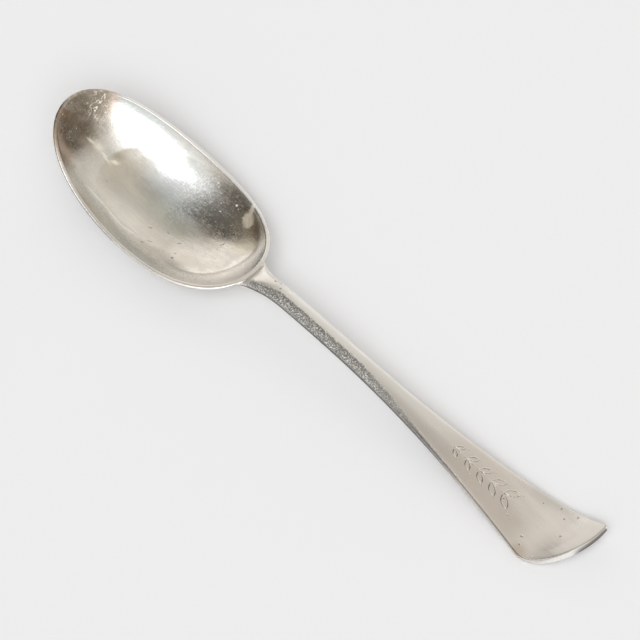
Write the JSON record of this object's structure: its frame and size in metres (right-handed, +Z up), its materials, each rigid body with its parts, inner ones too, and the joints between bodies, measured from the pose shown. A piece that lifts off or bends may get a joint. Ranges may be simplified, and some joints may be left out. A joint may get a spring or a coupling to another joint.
{
  "type": "teaspoon",
  "caption": "Old hand-made silver teaspoon: egg-shaped raised bowl, slim arched stem and fan-shaped upturned end, lap-jointed under the heel.",
  "frame": {"origin": "middle of the spoon's footprint, on the plane that it rests on", "axes": "+X along the spoon from the bowl's tip to the handle's end, +Y across it, +Z up out of the open bowl"},
  "size_m": [0.14, 0.0282, 0.0146],
  "materials": {
    "bowl_silver": "old polished silver, finely scratched and stained, with hammered unevenness",
    "handle_silver": "old satin silver with small pits, and a granular worn flank along one side of the stem",
    "solder": "dull hard solder, a little darker than the silver"
  },
  "bodies": {
    "root": {"bowl": "bowl_silver", "handle": "handle_silver", "solder_bead": "solder"}
  },
  "joints": []
}
